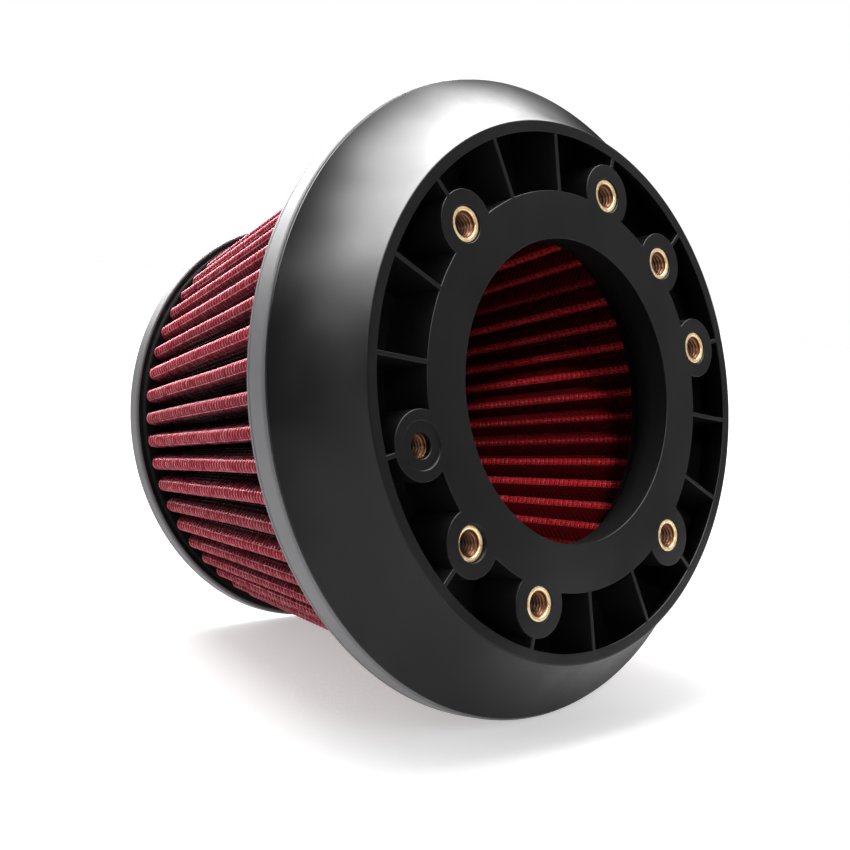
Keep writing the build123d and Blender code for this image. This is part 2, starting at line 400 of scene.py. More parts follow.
# ---- threaded inserts -------------------------------------------------------
def make_insert(number, deg, radius, recess):
    """Brass insert with a helical thread, a knurled barrel and a turned face."""
    turns = 64
    chamfer, lead_in = 0.35, 0.55        # of the hole's mouth and of the first thread
    hole_rim_r = 3.4
    a = math.radians(deg)
    cx, cz = radius * math.cos(a), radius * math.sin(a)
    angles = np.arange(turns) * 2 * math.pi / turns
    depth_steps = int(insert_len / thread_pitch * 10)
    rows = []
    # bore, from the back end to the mouth, with the thread cut as a helix
    for i in range(depth_steps + 1):
        y = insert_len * (1 - i / depth_steps)
        phase = (y / thread_pitch - angles / (2 * math.pi)) % 1.0
        wave = np.clip(np.abs(phase - 0.5) * 2.0 * 1.25 - 0.12, 0.0, 1.0)
        lead = np.clip((y - chamfer) / lead_in, 0.0, 1.0)
        r = thread_major - (thread_major - thread_minor) * wave * lead
        r = r + chamfer * np.clip(1 - y / chamfer, 0, 1)
        rows.append((r, np.full(turns, y)))
    flat = np.ones(turns)
    for inset, y in ((0.30, 0.0), (0.12, 0.03), (0.03, 0.12)):
        rows.append(((insert_r - inset) * flat, y * flat))
    knurl = 0.10 * (np.arange(turns) % 2)
    for i in range(13):
        y = 0.35 + 9.3 * i / 12
        neck = 0.45 if 4.4 < y < 6.1 else 0.0
        shift = knurl if i % 2 else 0.10 - knurl
        rows.append((insert_r - neck - shift, y * flat))
    rows.append(((insert_r - 0.3) * flat, insert_len * flat))
    points = []
    for r, y in rows:
        x = cx + r * np.cos(angles)
        z = cz + r * np.sin(angles)
        points.append(np.stack([x, y + recess, z], axis=1))
    points = np.concatenate(points)
    quads = []
    count = len(rows)
    for i in range(count):
        k = (i + 1) % count
        for j in range(turns):
            m = (j + 1) % turns
            quads.append((i * turns + j, i * turns + m, k * turns + m, k * turns + j))
    name = "insert_%d" % number
    obj = to_object("brass_" + name, points, quads, sharp_deg=50.0)
    at = np.array([v.co for v in obj.data.vertices]) / MM
    off_axis = np.hypot(at[:, 0] - cx, at[:, 2] - cz)
    down = at[:, 1] - recess
    groove = (off_axis - thread_minor) / (thread_major - thread_minor)
    groove = np.clip(groove, 0.0, 1.0)
    # darker into the thread grooves and further down the hole: tarnish with painted
    # shade over it
    hole_shade = np.clip(0.50 + 0.45 * groove + 0.05 * down, 0.0, 1.0)
    hole_shade *= np.clip((down - 0.1) / 0.3, 0.0, 1.0)
    float_attribute(obj.data, "inside", np.where(off_axis < hole_rim_r, hole_shade, 0.0))
    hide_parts(name)
    return obj


# ---- turned rings -----------------------------------------------------------
def make_turned():
    """Bands, end cap and sealing rings."""
    made = {}
    # light band round the bell's rim
    r0 = skirt_r
    shape = [(r0, band_y0), (band_r - 0.5, band_y0, 0.2), (band_r, band_y0 + 0.5, 0.3)]
    shape += [(band_r, band_y1 - 1.45, 0.08), (band_r - 0.28, band_y1 - 1.3, 0.05)]
    shape += [(band_r - 0.28, band_y1 - 1.0, 0.05)]
    shape += [(band_r - 0.08, band_y1 - 0.82, 0.08)]
    shape += [(band_r - 0.08, band_y1 - 0.25, 0.1), (band_r - 0.35, band_y1, 0.1)]
    shape += [(r0, band_y1)]
    made["band_front"] = lathe("band_front", softened(shape))
    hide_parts("bell_band")

    # light band round the end cap
    r1 = cap_r - cap_band_t
    shape = [(r1, cup_y0), (cap_r - 0.35, cup_y0, 0.15), (cap_r, cup_y0 + 0.4, 0.2)]
    shape += [(cap_r, cup_y1 - 0.6, 0.3), (cap_r - 0.5, cup_y1, 0.3), (r1, cup_y1)]
    made["band_back"] = lathe("band_back", softened(shape))
    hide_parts("cap_band")

    # end cap with its dish
    wall_r = r1 - cup_wall
    deep = cup_y1 - dish_depth
    dish = [(0.0, deep), (dish_floor_r - 3.0, deep), (dish_floor_r, deep + 0.3, 2.0)]
    dish += [(dish_rim_r - 1.5, cup_y1 - 0.9, 1.5), (dish_rim_r, cup_y1 - 0.6, 0.4)]
    dish += [(dish_rim_r + 1.2, cup_y1, 0.5)]
    dish += [(r1, cup_y1, 0.3), (r1, cup_y0 + 0.1, 0.1), (wall_r, cup_y0 + 0.1, 0.1)]
    dish += [(wall_r, cup_y1 - cap_t), (ring_back_in, cup_y1 - cap_t)]
    dish += [(dish_floor_r - 0.8, deep - cap_t, 1.0), (0.0, deep - cap_t)]
    made["cap_moulding"] = lathe("cap_moulding", softened(dish, 0.2, 5))
    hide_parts("end_cap")

    # sealing compound in the bell
    r1 = skirt_in_r
    shape = [(ring_front_in, floor_y1), (r1, floor_y1), (r1, ring_front_y1 - 0.1, 0.1)]
    shape += [(r1 - 0.4, ring_front_y1 - 0.25, 0.3), (70.0, ring_front_y1 - 0.05, 2.0)]
    shape += [(63.0, ring_front_y1 - 0.2, 1.0)]
    shape += [(ring_front_in, ring_front_y1 - 0.6, 0.8)]
    made["seal_front"] = lathe("seal_front", softened(shape, 0.2, 4))
    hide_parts("ring_front")

    # sealing compound in the end cap
    r1 = wall_r
    shape = [(ring_back_in, ring_back_y0 + 0.6, 0.8), (50.0, ring_back_y0 + 0.25, 1.5)]
    shape += [(55.0, ring_back_y0 + 0.2, 1.5), (r1 - 0.5, ring_back_y0 + 0.1, 0.3)]
    shape += [(r1, ring_back_y0 + 0.5, 0.3), (r1, cup_y1 - cap_t)]
    shape += [(ring_back_in, cup_y1 - cap_t)]
    made["seal_back"] = lathe("seal_back", softened(shape, 0.2, 4))
    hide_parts("ring_back")
    return made


# ---- pleated pack -----------------------------------------------------------
crest_bend = 0.95          # fold radius of the middle of the stack at an outer crest
root_bend = 0.50           # and at an inner crest
fold_deg = 75.0            # half the angle each fold turns through
mesh_pitch = 1.645         # spacing of the screen wires
wire_first, wire_last = 23.1, 105.6
wire_count = int((wire_last - wire_first) / mesh_pitch) + 1
wire_ys = wire_first + mesh_pitch * np.arange(wire_count)
# unevenness of the folds, in millimetres
lift_mm = rng.normal(0.0, 0.07, pleats)
sway_mm = rng.normal(0.0, 0.10, pleats)
wave_phase = rng.uniform(0.0, 2 * math.pi, pleats)
wave_mm = rng.uniform(0.03, 0.12, pleats)
# painted shade added at random to each whole fold, for folds that catch less light,
# outside and inside
fold_shade_out = rng.uniform(0.0, 0.15, pleats)
fold_shade_in = rng.uniform(0.0, 1.0, pleats) ** 1.5 * 0.6
fold_shade = {1.0: fold_shade_out, -1.0: fold_shade_in}


def pleat_points(ys, shift, crest_at, root_at):
    """Points (station, pleat, place, xyz) on the folded stack, with their normals.

    shift is the distance outwards from the middle of the stack; crest_at and
    root_at list the angles taken round each outer and each inner fold.
    """
    settled, wave_per_mm, least_bend = 0.12, 0.11, 0.05
    ys = np.asarray(ys, float)[:, None, None]
    shift = np.asarray(shift, float)
    if shift.ndim == 1:
        shift = shift[:, None, None]
    t = (ys - pack_y0) / (pack_y1 - pack_y0)
    k = 1.0 + (crest_back / crest_front - 1.0) * t
    n = np.arange(pleats)[None, :, None]
    free = np.clip(np.sin(math.pi * np.clip(t, 0.0, 1.0)), 0, 1)
    lift = (lift_mm[n] - settled) * free
    wave = wave_mm[n] * np.sin(ys * wave_per_mm + wave_phase[n])
    sway = (sway_mm[n] + wave) * free
    crest_r = k * crest_front - stack_t / 2 - crest_bend + lift
    root_r = k * (crest_front - pleat_depth) + stack_t / 2 + root_bend
    theta = 2 * math.pi * n / pleats + sway / crest_r
    places, normals = [], []
    for deg in crest_at:
        f = math.radians(deg)
        r = crest_r + (crest_bend + shift) * math.cos(f)
        w = (crest_bend + shift) * math.sin(f)
        places.append((r, w, theta, ys))
        normals.append((math.cos(f), math.sin(f)))
    edge_theta = 2 * math.pi * (n + 0.5) / pleats
    for deg in root_at:
        f = math.radians(deg)
        bend = np.maximum(root_bend - shift, least_bend)
        r = root_r - bend * math.cos(f)
        w = bend * math.sin(f)
        places.append((r, w, edge_theta, ys))
        normals.append((math.cos(f), -math.sin(f)))
    points, outward = [], []
    whole = (len(ys), pleats, 1)
    for place, (nr, nw) in zip(places, normals):
        r, w, th, y = (np.broadcast_to(value, whole) for value in place)
        x = r * np.cos(th) - w * np.sin(th)
        z = r * np.sin(th) + w * np.cos(th)
        points.append(np.stack([x, y, z], axis=-1))
        nx = nr * np.cos(th) - nw * np.sin(th)
        nz = nr * np.sin(th) + nw * np.cos(th)
        outward.append(np.stack([nx, np.zeros_like(nx), nz], axis=-1))
    points = np.concatenate(points, axis=2)
    outward = np.concatenate(outward, axis=2)
    return points, outward


def bend_of(side):
    """Radius on which the wires along a fold lie, outside or inside."""
    return (crest_bend if side > 0 else root_bend) + warp_out


def across(crest_at, root_at, side):
    """Developed distance of each place from its fold's middle, for the weave."""
    flank_len, tight_bend = 7.2, 0.6
    open_folds, closed = (crest_at, root_at) if side > 0 else (root_at, crest_at)
    near = [math.radians(deg) * bend_of(side) + mesh_pitch for deg in open_folds]
    far = [near[-1] + flank_len + math.radians(deg + fold_deg) * tight_bend
           for deg in closed]
    return near + far if side > 0 else far + near


def depths(crest_at, root_at, side):
    """How deep in the fold each place lies as seen from one side, 0 to 1; the materials
    paint shade by it.
    """
    open_folds, closed = (crest_at, root_at) if side > 0 else (root_at, crest_at)
    edge_depth = 0.30 if side > 0 else 0.75
    unshaded_deg = 18.0
    near = [max(0.0, abs(deg) - unshaded_deg) / (fold_deg - unshaded_deg) * edge_depth
            for deg in open_folds]
    far = [1.0] * len(closed)
    return near + far if side > 0 else far + near


def make_ply(name, side, node):
    """One gauze ply: quilted between the wires on its screen side, plain inside."""
    crest_at = (-fold_deg, -40.0, 0.0, 40.0, fold_deg)
    root_at = (-fold_deg, -30.0, 30.0, fold_deg)
    dip, swell = 0.06, 0.26
    rows, bulge = [pack_y0 + 0.2], [0.0]
    for y in wire_ys:
        rows += [y, y + mesh_pitch * 0.32, y + mesh_pitch * 0.68]
        bulge += [-dip, swell, swell]
    rows += [wire_last + 1.4, pack_y1 - 0.2]
    bulge += [0.0, 0.0]
    face = side * (ply_face + np.array(bulge))
    near, _ = pleat_points(rows, face, crest_at, root_at)
    plain = [rows[0], 40.0, 62.0, 84.0, rows[-1]]
    far, _ = pleat_points(plain, side * ply_back, crest_at, root_at)
    width = pleats * (len(crest_at) + len(root_at))
    near, far = near.reshape(-1, 3), far.reshape(-1, 3)
    n_near, n_far = len(rows), len(plain)
    col = np.arange(width)
    nxt = (col + 1) % width
    quads = []
    for i in range(n_near - 1):
        a, b = i * width, (i + 1) * width
        quads.append(np.stack([a + col, b + col, b + nxt, a + nxt], axis=1))
    base = n_near * width
    for i in range(n_far - 1):
        a, b = base + i * width, base + (i + 1) * width
        quads.append(np.stack([a + col, a + nxt, b + nxt, b + col], axis=1))
    last_near, last_far = (n_near - 1) * width, base + (n_far - 1) * width
    quads.append(np.stack([base + col, col, nxt, base + nxt], axis=1))
    quads.append(np.stack([last_near + col, last_far + col, last_far + nxt,
                           last_near + nxt], axis=1))
    quads = np.concatenate(quads)
    if side < 0:
        quads = quads[:, ::-1]
    points = np.concatenate([near, far])
    obj = from_arrays(name, [(np.float32(points), quads)])
    spread_u = np.tile(np.array(across(crest_at, root_at, side)), pleats)
    cell_u = np.tile(spread_u, n_near + n_far)
    cell_v = (points[:, 1] - wire_first) / mesh_pitch
    weave = obj.data.attributes.new("weave", "FLOAT_VECTOR", "POINT")
    packed = np.stack([cell_u / mesh_pitch, cell_v, np.zeros_like(cell_v)], axis=1)
    weave.data.foreach_set("vector", packed.astype(np.float32).ravel())
    # depth in the fold plus each fold's random share, read by the materials as painted
    # shade in the folds
    per_row = (np.array(depths(crest_at, root_at, side))[None, :]
               + fold_shade[side][:, None]).clip(0.0, 1.0).ravel()
    float_attribute(obj.data, "depth", np.tile(per_row, n_near + n_far))
    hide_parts(node)
    return obj


def tubes(centres, normals, radius, sides=3, along=None):
    """Thin tubes round many polylines of shape (count, places, xyz)."""
    count, places = centres.shape[:2]
    if along is None:
        along = np.zeros_like(centres)
        along[..., 1] = 1.0
    rings = []
    for s in range(sides):
        a = 2 * math.pi * s / sides
        rings.append(centres + radius * (math.cos(a) * normals + math.sin(a) * along))
    points = np.stack(rings, axis=2)
    start = (np.arange(count) * places * sides)[:, None, None]
    step = (np.arange(places - 1) * sides)[None, :, None]
    s = np.arange(sides)[None, None, :]
    a = start + step + s
    b = start + step + (s + 1) % sides
    quads = np.stack([a, b, b + sides, a + sides], axis=-1).reshape(-1, 4)
    first = start[:, 0, :] + np.arange(sides)[None, ::-1]
    last = start[:, 0, :] + (places - 1) * sides + np.arange(sides)[None, :]
    return points.reshape(-1, 3), quads, np.concatenate([first, last])


def weft_wires(side, ys):
    """Wires across the folds, and how deep in its fold each of their points lies."""
    fold = (-fold_deg, -50.0, -25.0, 0.0, 25.0, 50.0, fold_deg)
    ends = (-fold_deg, fold_deg)
    shift = side * weft_out
    if side > 0:
        mid, out = pleat_points(ys, shift, fold, ends)
        # the arch runs from the inner fold before a pleat to the one after it
        before, before_n = (np.roll(x[:, :, -1:], 1, axis=1) for x in (mid, out))
        path = np.concatenate([before, mid[:, :, :-1]], axis=2)
        normal = np.concatenate([before_n, out[:, :, :-1]], axis=2)
        deep = [1.0] + depths(fold, ends, side)[:-1]
    else:
        mid, out = pleat_points(ys, shift, ends, fold)
        after, after_n = (np.roll(x[:, :, :1], -1, axis=1) for x in (mid, out))
        path = np.concatenate([mid[:, :, 1:], after], axis=2)
        normal = -np.concatenate([out[:, :, 1:], after_n], axis=2)
        deep = depths(ends, fold, side)[1:] + [1.0]
    count, places = path.shape[0] * path.shape[1], path.shape[2]
    path = path.reshape(count, places, 3)
    normal = normal.reshape(count, places, 3)
    deep = np.array(deep)[None, :, None] + fold_shade[side][:, None, None] + np.zeros(3)
    return tubes(path, normal, weft_r), np.tile(deep.clip(0.0, 1.0).ravel(), wire_count)


def warp_wires(side):
    """Wires along the folds and down their flanks, with depths likewise."""
    shift, flank_depth, sides = side * warp_out, 0.7, 4
    stations = np.linspace(wire_first - 3.0, wire_last + 1.6, 5)
    if side > 0:
        step = math.degrees(mesh_pitch / bend_of(side))
        mid, out = pleat_points(stations, shift, [-step, step], ())
        deep = [0.1, 0.1]
    else:
        mid, out = pleat_points(stations, shift, (), [0.0, -60.0, 60.0])
        out = -out
        deep = [0.0, 0.3, 0.3]
    lines, norms = [mid], [out]
    ends = (-fold_deg, fold_deg)
    flank, flank_n = pleat_points(stations, shift, ends, ends)
    for first, second in ((1, 2), (3, 0)):
        a, b, na = flank[:, :, first], flank[:, :, second], flank_n[:, :, first]
        if second == 0:
            b = np.roll(b, -1, axis=1)
        for share in (0.2, 0.4, 0.6, 0.8):
            lines.append((a + (b - a) * share)[:, :, None])
            norms.append((side * na)[:, :, None])
            deep.append(flank_depth)
    lines, norms = np.concatenate(lines, axis=2), np.concatenate(norms, axis=2)
    lines = lines.transpose(1, 2, 0, 3).reshape(-1, len(stations), 3)
    norms = norms.transpose(1, 2, 0, 3).reshape(-1, len(stations), 3)
    tangent = np.gradient(lines, axis=1)
    tangent /= np.linalg.norm(tangent, axis=-1, keepdims=True)
    deep = (np.array(deep)[None, :] + fold_shade[side][:, None]).clip(0.0, 1.0)
    made = tubes(lines, norms, warp_r, sides, np.cross(tangent, norms))
    return made, np.repeat(deep.ravel(), len(stations) * sides)


def make_wires(name, side, node):
    """Screen of crossing wires: arches over every fold, straight ones along it."""
    ys = wire_ys + rng.normal(0.0, 0.03, wire_count)
    weft, weft_deep = weft_wires(side, ys)
    warp, warp_deep = warp_wires(side)
    obj = from_arrays(name, [weft, warp])
    # depth in the fold plus each fold's random share, which the wire materials turn into
    # painted shade
    float_attribute(obj.data, "depth", np.concatenate([weft_deep, warp_deep]))
    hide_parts(node)
    return obj


# ---- materials --------------------------------------------------------------
def new_material(name):
    """Material with an empty Principled shader ready to wire."""
    mat = bpy.data.materials.new(name)
    mat.use_nodes = True
    tree = mat.node_tree
    return mat, tree, tree.nodes["Principled BSDF"]


def node(tree, kind, **settings):
    """Add a node and set its attributes and inputs by name."""
    made = tree.nodes.new(kind)
    for key, value in settings.items():
        if key in made.inputs:
            made.inputs[key].default_value = value
        else:
            setattr(made, key, value)
    return made


def noise(tree, scale, detail=3.0, rough=0.55, stretch=None):
    """Noise in object space, stretched if asked."""
    coords = node(tree, "ShaderNodeTexCoord")
    made = node(tree, "ShaderNodeTexNoise")
    made.inputs["Scale"].default_value = scale
    made.inputs["Detail"].default_value = detail
    made.inputs["Roughness"].default_value = rough
    source = coords.outputs["Object"]
    if stretch:
        mapping = node(tree, "ShaderNodeMapping")
        mapping.inputs["Scale"].default_value = stretch
        tree.links.new(source, mapping.inputs["Vector"])
        source = mapping.outputs["Vector"]
    tree.links.new(source, made.inputs["Vector"])
    return made.outputs["Fac"]


def ramp(tree, source, stops):
    """Colour ramp from (place, colour) stops."""
    made = node(tree, "ShaderNodeValToRGB")
    first, last = stops[0], stops[-1]
    made.color_ramp.elements[0].position = first[0]
    made.color_ramp.elements[0].color = (*first[1], 1)
    made.color_ramp.elements[1].position = last[0]
    made.color_ramp.elements[1].color = (*last[1], 1)
    for place, colour in stops[1:-1]:
        made.color_ramp.elements.new(place).color = (*colour, 1)
    tree.links.new(source, made.inputs["Fac"])
    return made.outputs["Color"]


def spread(tree, source, low, high, from_low=0.3, from_high=0.7):
    """Map a value to a range."""
    made = node(tree, "ShaderNodeMapRange")
    made.inputs["From Min"].default_value = from_low
    made.inputs["From Max"].default_value = from_high
    made.inputs["To Min"].default_value = low
    made.inputs["To Max"].default_value = high
    tree.links.new(source, made.inputs["Value"])
    return made.outputs["Result"]


def math_node(tree, operation, a, b=None):
    """Math on sockets or numbers."""
    made = node(tree, "ShaderNodeMath", operation=operation)
    for i, value in enumerate((a, b)):
        if value is None:
            continue
        if isinstance(value, (int, float)):
            made.inputs[i].default_value = value
        else:
            tree.links.new(value, made.inputs[i])
    return made.outputs[0]


def colour_mix(tree, share, first, second):
    """Blend of two colours; the second may be a socket or a plain colour."""
    first_in, second_in, colour_out = 6, 7, 2        # a Mix node's colour sockets
    made = node(tree, "ShaderNodeMix", data_type="RGBA")
    tree.links.new(share, made.inputs["Factor"])
    tree.links.new(first, made.inputs[first_in])
    if isinstance(second, tuple):
        made.inputs[second_in].default_value = (*second, 1)
    else:
        tree.links.new(second, made.inputs[second_in])
    return made.outputs[colour_out]


def bump(tree, height, strength, distance, after=None):
    """Bump chained after another normal."""
    made = node(tree, "ShaderNodeBump")
    made.inputs["Strength"].default_value = strength
    made.inputs["Distance"].default_value = distance
    tree.links.new(height, made.inputs["Height"])
    if after is not None:
        tree.links.new(after, made.inputs["Normal"])
    return made.outputs["Normal"]


def plastic_material(name, dark, light, rough, ior, grain=0.00002, wavy=0.0):
    """Moulded plastic: fine grain, faint cloudiness and rubbed patches."""
    mat, tree, shader = new_material(name)
    cloud = noise(tree, 35.0, 4.0)
    fine = noise(tree, 2600.0, 2.0, 0.6)
    rub = noise(tree, 90.0, 5.0, 0.7)
    colour = ramp(tree, cloud, ((0.3, dark), (0.7, light)))
    tree.links.new(colour, shader.inputs["Base Color"])
    rough_out = math_node(
        tree, "ADD", spread(tree, rub, rough - 0.035, rough + 0.045),
        spread(tree, fine, -0.02, 0.02))
    tree.links.new(rough_out, shader.inputs["Roughness"])
    shader.inputs["IOR"].default_value = ior
    grained = bump(tree, fine, 0.35, grain)
    if wavy:
        sink = noise(tree, 24.0, 1.5, 0.4)
        grained = bump(tree, sink, 1.0, wavy, grained)
    tree.links.new(grained, shader.inputs["Normal"])
    return mat


def brass_material():
    """Turned brass with lathe lines; down the threads tarnished and darkened by painted
    shade.
    """
    mat, tree, shader = new_material("turned_brass")
    tarnish = noise(tree, 420.0, 4.0)
    lines = noise(tree, 300.0, 2.0, 0.5, (1.0, 14.0, 1.0))
    turned_face = ramp(tree, tarnish, ((0.30, (0.72, 0.47, 0.22)),
                                       (0.55, (0.92, 0.71, 0.42)),
                                       (0.75, (0.98, 0.85, 0.60))))
    inside = node(tree, "ShaderNodeAttribute", attribute_name="inside")
    # the hole's walls: tarnished brown going to near black in the grooves and deep down,
    # painted shade
    threads = ramp(tree, inside.outputs["Fac"], ((0.50, (0.40, 0.16, 0.050)),
                                                 (0.72, (0.12, 0.040, 0.012)),
                                                 (0.98, (0.012, 0.004, 0.0015))))
    share = spread(tree, inside.outputs["Fac"], 0.0, 1.0, 0.0, 0.35)
    tree.links.new(colour_mix(tree, share, turned_face, threads),
                   shader.inputs["Base Color"])
    shader.inputs["Metallic"].default_value = 0.55
    rough = math_node(tree, "ADD", spread(tree, tarnish, 0.20, 0.34),
                      math_node(tree, "MULTIPLY", inside.outputs["Fac"], 0.16))
    tree.links.new(rough, shader.inputs["Roughness"])
    tree.links.new(bump(tree, lines, 0.3, 0.00003), shader.inputs["Normal"])
    return mat


def clip_material():
    """Satin aluminium of the seam clip, brushed along its length."""
    mat, tree, shader = new_material("satin_aluminium")
    brushed = noise(tree, 900.0, 3.0, 0.6, (1.0, 0.05, 1.0))
    cloud = noise(tree, 120.0, 3.0)
    colour = ramp(tree, cloud, ((0.3, (0.26, 0.26, 0.265)), (0.7, (0.36, 0.36, 0.365))))
    tree.links.new(colour, shader.inputs["Base Color"])
    shader.inputs["Metallic"].default_value = 1.0
    tree.links.new(spread(tree, brushed, 0.32, 0.52), shader.inputs["Roughness"])
    tree.links.new(bump(tree, brushed, 0.4, 0.00003), shader.inputs["Normal"])
    return mat


def shade_folds(tree, colour, deep):
    """The colour turned dark towards the bottom of a fold: painted shade in the creases.
    """
    depth = node(tree, "ShaderNodeAttribute", attribute_name="depth")
    # past a little depth the colour sinks to the dark colour given: painted shade
    share = spread(tree, depth.outputs["Fac"], 0.0, 1.0, 0.08, 0.62)
    return colour_mix(tree, share, colour, deep)


def wire_material(name, tint, bare, deep, rough):
    """Screen wire: drawn metal showing through a film of red oil, with painted shade
    deep in the folds.
    """
    mat, tree, shader = new_material(name)
    film = noise(tree, 500.0, 2.0)
    broad = noise(tree, 60.0, 2.0)
    both = math_node(tree, "ADD", film, math_node(tree, "MULTIPLY", broad, 0.2))
    colour = ramp(tree, both, ((0.40, tint), (0.85, bare)))
    # deep is the colour of the painted shade at the bottoms of the folds
    tree.links.new(shade_folds(tree, colour, deep), shader.inputs["Base Color"])
    shader.inputs["Metallic"].default_value = 0.12
    rough_out = spread(tree, film, rough - 0.08, rough + 0.1)
    tree.links.new(rough_out, shader.inputs["Roughness"])
    shader.inputs["Specular IOR Level"].default_value = 0.4
    tree.links.new(bump(tree, film, 0.25, 0.00004), shader.inputs["Normal"])
    return mat


def gauze_material(name, deep, mid, bright, fold_shade_colour):
    """Oiled cotton gauze: painted light on the swells between the wires, painted shade
    where it dips at them and deep in the folds.
    """
    mat, tree, shader = new_material(name)
    cell = node(tree, "ShaderNodeAttribute", attribute_name="weave")
    parts = node(tree, "ShaderNodeSeparateXYZ")
    tree.links.new(cell.outputs["Vector"], parts.inputs["Vector"])

    def swell(socket):
        wave = math_node(tree, "MULTIPLY", socket, math.pi)
        return math_node(tree, "ABSOLUTE", math_node(tree, "SINE", wave))

    u, v = swell(parts.outputs["X"]), swell(parts.outputs["Y"])
    cushion = math_node(tree, "MULTIPLY", v, math_node(tree, "ADD", 0.55,
                        math_node(tree, "MULTIPLY", u, 0.45)))
    threads = noise(tree, 1900.0, 2.0, 0.5)
    patch = noise(tree, 160.0, 3.0)
    mixed = math_node(tree, "ADD", math_node(tree, "MULTIPLY", cushion, 0.85),
                      math_node(tree, "MULTIPLY", patch, 0.15))
    # dark where the gauze dips at the wires and light on its swells: painted shade and
    # painted light
    colour = ramp(tree, mixed, ((0.22, deep), (0.55, mid), (0.88, bright)))
    tree.links.new(shade_folds(tree, colour, fold_shade_colour), shader.inputs["Base Color"])
    tree.links.new(spread(tree, threads, 0.42, 0.62), shader.inputs["Roughness"])
    shader.inputs["Specular IOR Level"].default_value = 0.04
    shader.inputs["Sheen Weight"].default_value = 0.03
    shader.inputs["Sheen Roughness"].default_value = 0.4
    shader.inputs["Sheen Tint"].default_value = (1.0, 0.45, 0.5, 1.0)
    first = bump(tree, cushion, 0.6, 0.00025)
    tree.links.new(bump(tree, threads, 0.35, 0.00008, first), shader.inputs["Normal"])
    return mat


def assign(obj, mat):
    """Give an object one material."""
    obj.data.materials.clear()
    obj.data.materials.append(mat)


# ---- build ------------------------------------------------------------------
bell = make_bell()
inserts = []
for number, (deg, radius, recess, _) in enumerate(boss_table(), 1):
    inserts.append(make_insert(number, deg, radius, recess))
turned = make_turned()
ply_out = make_ply("gauze_outer_ply", 1.0, "gauze_ply_1")
ply_in = make_ply("gauze_inner_ply", -1.0, "gauze_ply_2")
wires_out = make_wires("wires_outer", 1.0, "screen_outer")
wires_in = make_wires("wires_inner", -1.0, "screen_inner")

black = plastic_material("black_moulding", (0.0030, 0.0030, 0.0032),
                         (0.0072, 0.0072, 0.0075), 0.36, 1.30, wavy=0.0035)
grey = plastic_material("grey_trim", (0.112, 0.112, 0.117),
                        (0.145, 0.143, 0.147), 0.42, 1.32)
# the wall of the bore gets a darker, duller copy of the black plastic: painted shade
# inside the bore
black_in = plastic_material("bore_wall", (0.0020, 0.0020, 0.0021),
                            (0.0035, 0.0034, 0.0035), 0.60, 1.14)
rubber = plastic_material("seal_compound", (0.003, 0.003, 0.003),
                          (0.006, 0.0055, 0.0055), 0.70, 1.16, 0.00006)
brass = brass_material()
# one gauze in two reds: the inner ply, seen through the bore, is far lighter than the
# outer, painted light
red_out = gauze_material("oiled_gauze_outer", (0.020, 0.0005, 0.002),
                         (0.11, 0.001, 0.005), (0.27, 0.003, 0.012),
                         (0.010, 0.0004, 0.0008))
red_in = gauze_material("oiled_gauze_inner", (0.14, 0.002, 0.003), (0.62, 0.006, 0.010),
                        (0.92, 0.016, 0.022), (0.15, 0.003, 0.005))
wire_red = wire_material("oiled_wire_outer", (0.41, 0.020, 0.048), (0.74, 0.26, 0.31),
                         (0.022, 0.003, 0.004), 0.27)
# the inner wires get a lighter tint and fold colour than the outer ones: painted light
# inside the bore
wire_deep = wire_material("oiled_wire_inner", (0.52, 0.02, 0.03), (0.66, 0.12, 0.14),
                          (0.13, 0.005, 0.007), 0.32)
satin = clip_material()

assign(bell, black)
bell.data.materials.append(black_in)
for face in bell.data.polygons:
    middle = face.center / MM
    if math.hypot(middle.x, middle.z) < mouth_r + 1.5 and middle.y > 0.3:
        # painted shade: the bore wall takes the darker copy of the plastic
        face.material_index = 1          # the wall of the bore
assign(turned["cap_moulding"], black)
assign(turned["band_front"], grey)
assign(turned["band_back"], grey)
assign(turned["seal_front"], rubber)
assign(turned["seal_back"], rubber)
for piece in inserts:
    assign(piece, brass)
assign(ply_out, red_out)
assign(ply_in, red_in)
assign(wires_out, wire_red)
assign(wires_in, wire_deep)
assign(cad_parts["seam_clip"], satin)


# ---- floor, light and camera ------------------------------------------------
floor_gap = 0.0002
tilt = math.atan2(band_r - cap_r, cup_y1 - front_touch_y)
touch = Vector((0.0, front_touch_y * MM, -band_r * MM - floor_gap))


def make_floor():
    """Large pale sheet that the filter lies on, tangent to both of its rims."""
    bm = bmesh.new()
    bmesh.ops.create_grid(bm, x_segments=24, y_segments=24, size=4.0)
    mesh = bpy.data.meshes.new("floor")
    bm.to_mesh(mesh)
    bm.free()
    obj = placed("floor", mesh)
    obj.matrix_world = Matrix.Translation(touch) @ Matrix.Rotation(tilt, 4, "X")
    mat, tree, shader = new_material("pale_floor")
    soft = noise(tree, 6.0, 2.0)
    colour = ramp(tree, soft, ((0.3, (0.93, 0.93, 0.935)), (0.7, (0.95, 0.95, 0.95))))
    tree.links.new(colour, shader.inputs["Base Color"])
    shader.inputs["Roughness"].default_value = 0.8
    shader.inputs["Specular IOR Level"].default_value = 0.1
    shader.inputs["Emission Color"].default_value = (1, 1, 1, 1)
    shader.inputs["Emission Strength"].default_value = 0.42
    assign(obj, mat)
    return obj


def aim_at(obj, place, aim):
    """Stand a light at a place and turn it towards a point."""
    obj.location = place
    away = Vector(aim) - Vector(place)
    obj.rotation_euler = away.to_track_quat("-Z", "Y").to_euler()


def area_light(name, place, aim, size, watts):
    """Rectangular soft light aimed at a point, kept out of reflections."""
    data = bpy.data.lights.new(name, "AREA")
    data.shape = "RECTANGLE"
    data.size, data.size_y = size
    data.energy = watts
    obj = placed(name, data)
    obj.visible_glossy = False
    aim_at(obj, place, aim)


